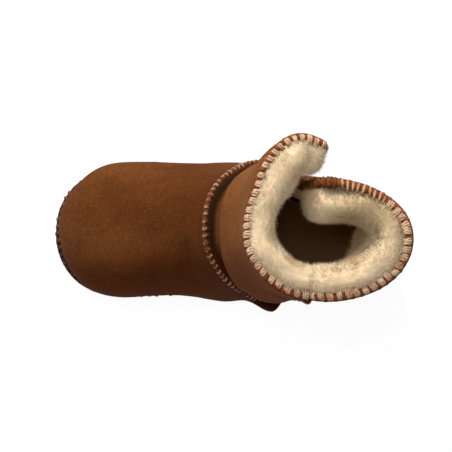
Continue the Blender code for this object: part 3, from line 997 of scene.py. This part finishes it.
def rolled_edge(name, rows, finish, seed, pinch=0.16, ragged=0.05):
    """The rolled suede under the stitches: oval beads along edges, pinched at every stitch.

    Each row is its run, its pitch, and the oval's middle and half size across the edge and past it.
    """
    chance = np.random.default_rng(seed)
    points = []
    faces = []
    wear_and_shade = []
    ring = 2 * math.pi * np.arange(ROLL_SIDES) / ROLL_SIDES
    for run, pitch, across, over in rows:
        places, sideways, past = even_run(run, pitch / ROLL_RINGS_A_PITCH)
        faces += tube_faces(len(points) * ROLL_SIDES, len(places), ROLL_SIDES)
        for i in range(len(places)):
            phase = math.cos(2 * math.pi * i / ROLL_RINGS_A_PITCH)
            fullness = 1 - pinch * phase + chance.normal(0, ragged, ROLL_SIDES)
            fullness = fullness * min(1.0, 0.35 + 0.3 * min(i, len(places) - 1 - i))
            out_across = across[0] * MM + across[1] * MM * np.cos(ring) * fullness
            out_past = over[0] * MM + over[1] * MM * np.sin(ring) * fullness
            points.append(places[i] + out_across[:, None] * sideways[i] + out_past[:, None] * past[i])
            # the roll is marked a little darker all along, and darker still at each pinch under a stitch, as
            # painted shade in the crease
            wear_and_shade.append(np.full(ROLL_SIDES, 0.30 + 0.3 * phase))
    piece = mesh_piece(name, np.concatenate(points), faces, finish)
    rough_up(piece, *ROLL_ROUGHNESS, seed)
    set_mark(piece, "wear_and_shade", np.clip(np.concatenate(wear_and_shade), 0, 1))
    edit_whole(piece, bpy.ops.mesh.normals_make_consistent, inside=False)
    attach(piece, "root")


roll_finish = suede("rolled_suede", *ROLL_COLOURS, nap=0.7)
worn_finish = suede("worn_suede", *WORN_COLOURS, pitted=0.95)
flap_top = corner_of(front_edge, (-1, 0.6, 1))
collar_front = run_between(front_edge, front_side_top, flap_top)
flap_edge = run_between(front_edge, flap_top, flap_foot)
rolled_edge(
    "collar_rolled_edge",
    [
        (first_part(collar_front, 15), COLLAR_PITCH, (-1.35, 1.30), (-0.45, 1.10)),
        (trimmed(collar_front, 14, 0), COLLAR_PITCH, (-1.15, 1.10), (-0.45, 1.00)),
        (flap_edge, FLAP_PITCH, (-1.20, 1.15), (-0.45, 1.00)),
        (trimmed(collar_back, 5, 0), COLLAR_PITCH, (-1.35, 1.30), (-0.45, 1.10)),
    ],
    roll_finish, 7,
)
rolled_edge(
    "tucked_rolled_edge",
    [
        (tucked_end, TUCKED_PITCH, (-1.5, 1.7), (-0.2, 1.20)),
        (first_part(collar_back, 6.5), TUCKED_PITCH, (-1.7, 1.9), (-0.4, 1.30)),
    ],
    worn_finish, 9, pinch=0.05, ragged=0.13,
)
collar_stitch = overcast_stitch((-2.05, 1.40), (-0.70, 1.50), 0.8, 3, 0.86)
front_stitch = overcast_stitch((-1.65, 1.10), (-0.60, 1.30), 0.5, 3, 0.90)
flap_stitch = overcast_stitch((-1.85, 1.25), (-0.65, 1.35), 0.6, 2, 1.00)
tucked_stitch = overcast_stitch((-1.85, 1.45), (-0.70, 1.45), 0.9, 1, 0.95)
sew(
    "collar_overcast_thread",
    [
        (first_part(collar_front, 14), collar_stitch, COLLAR_PITCH),
        (trimmed(first_part(collar_front, 54), 17, 0), front_stitch, COLLAR_PITCH),
        (trimmed(collar_front, 56.5, 0), flap_stitch, FLAP_PITCH),
        (trimmed(flap_edge, 0, 8), flap_stitch, FLAP_PITCH),
        (trimmed(collar_back, 26, 0), collar_stitch, COLLAR_PITCH),
    ],
    thread_finish("thread", *COLLAR_THREAD), 11,
)
sew(
    "tucked_overcast_thread",
    [(trimmed(first_part(collar_back, 24), 7.5, 0), tucked_stitch, TUCKED_PITCH)],
    thread_finish("tucked_thread", *TUCKED_THREAD), 13, 0.07,
)


# ---------------------------------------------------------------- throat seam
# The vamp's edge and the front panel's are turned up together and overcast into a standing ridge.
# The second row of roll fills the gap between the two skins below it.
THROAT_THREAD = ((0.27, 0.130, 0.070), (0.40, 0.215, 0.125), (0.155, 0.060, 0.030))
RIDGE_COLOURS = ((0.13, 0.045, 0.016), (0.055, 0.018, 0.006), (0.22, 0.09, 0.035))
THROAT_PITCH = 2.6 * MM
throat_thread = thread_finish("throat_thread", *THROAT_THREAD)
throat_stitch = overcast_stitch((-0.10, 0.70), (-0.62, 0.95), 0.50, 2, 0.55)
rolled_edge(
    "throat_rolled_edge",
    [
        (trimmed(throat, 0.8, 0.8), THROAT_PITCH, (-0.15, 0.75), (-0.50, 0.85)),
        (trimmed(throat, 0.4, 0.4), THROAT_PITCH, (-0.35, 1.00), (-1.90, 1.00)),
    ],
    suede("ridge_suede", *RIDGE_COLOURS), 17,
)
sew("throat_overcast_thread", [(trimmed(throat, 2.5, 2.5), throat_stitch, THROAT_PITCH)], throat_thread, 19)


# ---------------------------------------------------------------- side seam
# Front and back panels meet edge to edge down the inner side under a plain row of the same stitches.
# The roll goes on below the last stitch, down into the corner over the sole.
SIDE_PITCH = 2.7 * MM
FOOT_OF_SEAM = np.linspace((0.4, 0.0, 1.0), (-0.9, -0.5, -3.8), 8)
side_points, side_out, side_past = run_between(front_edge, front_side_foot, front_side_top)
side_seam = (side_points, side_past, side_out)
foot_of_seam = (
    (front_side_foot + FOOT_OF_SEAM) * MM,
    np.tile((0.0, 1.0, 0.0), (len(FOOT_OF_SEAM), 1)),
    np.tile((1.0, 0.0, 0.0), (len(FOOT_OF_SEAM), 1)),
)
side_stitch = overcast_stitch((0.15, 1.40), (-0.35, 1.15), 0.6, 2, 0.66)
rolled_edge(
    "side_seam_rolled_edge",
    [
        (trimmed(side_seam, 0.5, 3.5), SIDE_PITCH, (0.15, 1.10), (-0.2, 0.80)),
        (trimmed(side_seam, 0.2, 5.0), SIDE_PITCH, (0.15, 1.20), (-1.6, 1.00)),
        (foot_of_seam, SIDE_PITCH, (-0.3, 1.90), (-0.6, 1.20)),
    ],
    roll_finish, 23,
)
sew("side_seam_overcast_thread", [(trimmed(side_seam, 9, 5), side_stitch, SIDE_PITCH)], throat_thread, 29)


# ---------------------------------------------------------------- sole seam
# The upper is overcast to the sole all round with dark brown thread, a little raggedly.
SEAM_COLOURS = ((0.085, 0.034, 0.014), (0.040, 0.015, 0.006), (0.14, 0.062, 0.027))
SOLE_THREAD = ((0.080, 0.034, 0.015), (0.15, 0.070, 0.032), (0.030, 0.012, 0.006))
SOLE_PITCH = 2.7 * MM
TOP_OF_SOLE = (0, 0, 4)
FAR_BELOW = (0, 0, -200)
sole_top = cut_piece_copy("sole", "sole_top_sheet")
select_sheet(sole_top, TOP_OF_SOLE, corner=40, heart=FAR_BELOW)
drop_unselected()
sole_edge = boundary(sole_top)[0]
bpy.data.objects.remove(sole_top)
sole_edge = smooth_run(np.roll(sole_edge, -int(np.argmax(sole_edge[:, 1])), 0), 3, closed=True)
sole_up = np.tile((0.0, 0.0, 1.0), (len(sole_edge), 1))
sole_out = unit(np.cross(np.roll(sole_edge, -1, 0) - np.roll(sole_edge, 1, 0), sole_up))
sole_run = tuple(np.vstack((part, part[:1])) for part in (sole_edge, sole_up, sole_out))
sole_stitch = overcast_stitch((0.25, 1.45), (-0.75, 1.40), 1.0, 2, 0.70)
rolled_edge(
    "sole_seam_rolled_edge",
    [(sole_run, SOLE_PITCH, (0.25, 1.15), (-0.55, 1.0))],
    suede("seam_suede", *SEAM_COLOURS), 31, ragged=0.09,
)
sew(
    "sole_overcast_thread",
    [(sole_run, sole_stitch, SOLE_PITCH)],
    thread_finish("sole_thread", *SOLE_THREAD), 37, 0.13,
)


# ---------------------------------------------------------------- wool pile
# The fleece itself: single wavy hairs in soft locks, grown round the collar and down the flap, where
# the foot doesn't press them down.
HAIRS = 65000
HAIR_LENGTH = 2.6 * MM
HAIR_HALF_WIDTH = 0.048 * MM
HAIR_ROOT = 0.4
LYING_OVER = 0.42
LOCK_SIZE = 1.7 * MM
POINTS_A_HAIR = 5
CELL_NUMBERS = np.array([73856093, 19349663, 83492791])

# in mm: how high the pile starts and over what height it thickens, and the corner of the flap's pile
PILE_FROM = 46
PILE_THICKENS = 18
FLAP_PILE = (-15, 10, 12)
SEAM_KEPT_CLEAR = 1.2

# how far up the hair each row of points lies, and how wide it is there
HAIR_ROWS = ((0.0, 1.0), (0.55, 0.9), (1.0, 0.0))
# how far each point of a hair goes towards the paler tip colour: the roots stay darker, partly the wool's
# own colour and partly painted shade down in the pile
TIP_SHARES = np.array([0, 0, 0.65, 0.65, 1.0])


def where_it_grows(middles, facing, area, tree, edges):
    """How much wool grows on each triangle: round the collar and in the flap, clear of the seams."""
    x, y, z = middles.T / MM
    open_flap = 0.35 * ((x < FLAP_PILE[0]) & (y > FLAP_PILE[1]) & (z > FLAP_PILE[2]))
    high_up = np.clip((z - PILE_FROM) / PILE_THICKENS, 0, 1)
    weight = area * np.maximum(high_up, open_flap) * (facing[:, 2] > -0.5)
    for i in np.flatnonzero(weight):
        covered = tree.ray_cast(Vector(middles[i]), Vector(facing[i]), 5 * MM)[0] is not None
        if covered or tree.find_nearest(Vector(middles[i]))[3] < 1.0 * MM:
            weight[i] = 0
    for edge in edges:
        gap = near_run(middles, edge)[1] / MM
        weight *= np.clip((gap - SEAM_KEPT_CLEAR) / SEAM_KEPT_CLEAR, 0, 1)
    return weight


def along_skin(vectors, outward):
    """The part of each vector that lies along the skin."""
    return vectors - outward * np.sum(vectors * outward, axis=1)[:, None]


def gather_in_locks(root, outward, chance):
    """Gathers hairs in locks: each one's lock, the way it leans, and the way to its lock's middle.

    A lock is the hairs that root within one small cell. They lie over the same way and end together.
    """
    cell = np.floor(root / LOCK_SIZE + 0.4 * np.sin(root[:, [1, 2, 0]] / (1.1 * MM))).astype(np.int64)
    locks, lock_of = np.unique(cell @ CELL_NUMBERS, return_inverse=True)
    size = np.bincount(lock_of)
    lock_middle = np.stack([np.bincount(lock_of, root[:, i]) for i in range(3)], 1) / size[:, None]
    x, y, z = root.T / MM
    drift_x = np.sin(y * 0.41 + 1.3) + np.sin(z * 0.53 + x * 0.3)
    drift_y = np.sin(x * 0.47 + 0.4) + np.sin(z * 0.37 + y * 0.25)
    drift_z = np.sin(x * 0.39 + y * 0.31 + 2.0) * 1.2
    lean = np.stack((drift_x, drift_y, drift_z), 1) * 0.6
    lean = lean + chance.normal(0, 0.38, (len(locks), 3))[lock_of] + chance.normal(0, 0.50, root.shape)
    return lock_of, along_skin(lean, outward), along_skin(lock_middle[lock_of] - root, outward)


def wool_pile(name, body, suede_face, edges, seed):
    """Hairs all over a wool body, as narrow ribbons that lie over together in locks."""
    chance = np.random.default_rng(seed)
    body.data.calc_loop_triangles()
    corners = np.empty(len(body.data.loop_triangles) * 3, dtype=np.int32)
    body.data.loop_triangles.foreach_get("vertices", corners)
    corners = corners.reshape(-1, 3)
    points = points_of(body)
    normals = normals_of(body)
    a, b, c = (points[corners[:, i]] for i in range(3))
    area = np.linalg.norm(np.cross(b - a, c - a), axis=1) / 2
    tree = BVHTree.FromObject(suede_face, bpy.context.evaluated_depsgraph_get())
    weight = where_it_grows((a + b + c) / 3, unit(normals[corners].sum(1)), area, tree, edges)

    # roots spread evenly over the triangles
    picked = chance.choice(len(area), HAIRS, p=weight / weight.sum())
    from_corner = np.sqrt(chance.random(HAIRS))[:, None]
    sideways = chance.random(HAIRS)[:, None]
    shares = (1 - from_corner, from_corner * (1 - sideways), from_corner * sideways)
    root = sum(points[corners[picked, i]] * shares[i] for i in range(3))
    outward = unit(sum(normals[corners[picked, i]] * shares[i] for i in range(3)))

    lock_of, lean, pull = gather_in_locks(root, outward, chance)
    way = unit(outward * (1 - LYING_OVER) + lean * LYING_OVER)
    long = HAIR_LENGTH * np.clip(chance.normal(1, 0.28, HAIRS), 0.4, 1.7)[:, None]
    crimp_way = unit(np.cross(way, chance.normal(0, 1, (HAIRS, 3))))
    crimp_turn = chance.random(HAIRS)[:, None] * 2 * math.pi
    width_way = unit(np.cross(way, outward) + chance.normal(0, 0.45, (HAIRS, 3)))
    width_way[np.sum(np.cross(width_way, way) * outward, axis=1) < 0] *= -1
    half_width = HAIR_HALF_WIDTH * np.clip(chance.normal(1, 0.2, HAIRS), 0.6, 1.5)[:, None]
    rows = []
    for share, narrow in HAIR_ROWS:
        crimp = np.sin(crimp_turn + share * 8.0) * 0.20 * MM * min(share * 3, 1)
        curl = -outward * long * 0.22 * share**2
        spine = root - outward * HAIR_ROOT * MM + way * long * share + pull * share**2 * 0.35 + curl
        spine = spine + crimp_way * crimp
        if narrow:
            rows.append(spine - width_way * half_width * narrow)
            rows.append(spine + width_way * half_width * narrow)
        else:
            rows.append(spine)

    # a hair that would come out through the suede is left out
    free = np.zeros(HAIRS, dtype=bool)
    for i in range(HAIRS):
        start = Vector(root[i] - outward[i] * HAIR_ROOT * MM)
        reach = spine[i] - root[i]
        free[i] = tree.ray_cast(start, Vector(reach), np.linalg.norm(reach) + 0.5 * MM)[0] is None
    hairs = np.stack(rows, 1)[free].reshape(-1, 3)
    first = np.arange(free.sum())[:, None] * POINTS_A_HAIR
    faces = (first + [0, 1, 3, 2]).tolist() + (first + [2, 3, 4]).tolist()
    piece = mesh_piece(name, hairs, faces, wool)

    # the light falls on the pile as on one soft surface, and each lock has its own paleness
    soft = unit(outward + way * 0.35 + chance.normal(0, 0.30, (HAIRS, 3)))[free]
    piece.data.normals_split_custom_set_from_vertices(np.repeat(soft, POINTS_A_HAIR, axis=0).tolist())
    lock_shade = chance.normal(0, 0.22, lock_of.max() + 1)[lock_of]
    shade = np.clip(0.62 + lock_shade + chance.normal(0, 0.12, HAIRS), 0, 1)[free]
    set_mark(piece, "tip", np.tile(TIP_SHARES, len(shade)) * np.repeat(shade, POINTS_A_HAIR))
    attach(piece, "root")


wool_pile("front_wool_pile", front_wool, front, [collar_front, flap_edge, throat], 101)
wool_pile("back_wool_pile", back_wool, back, [collar_back], 103)
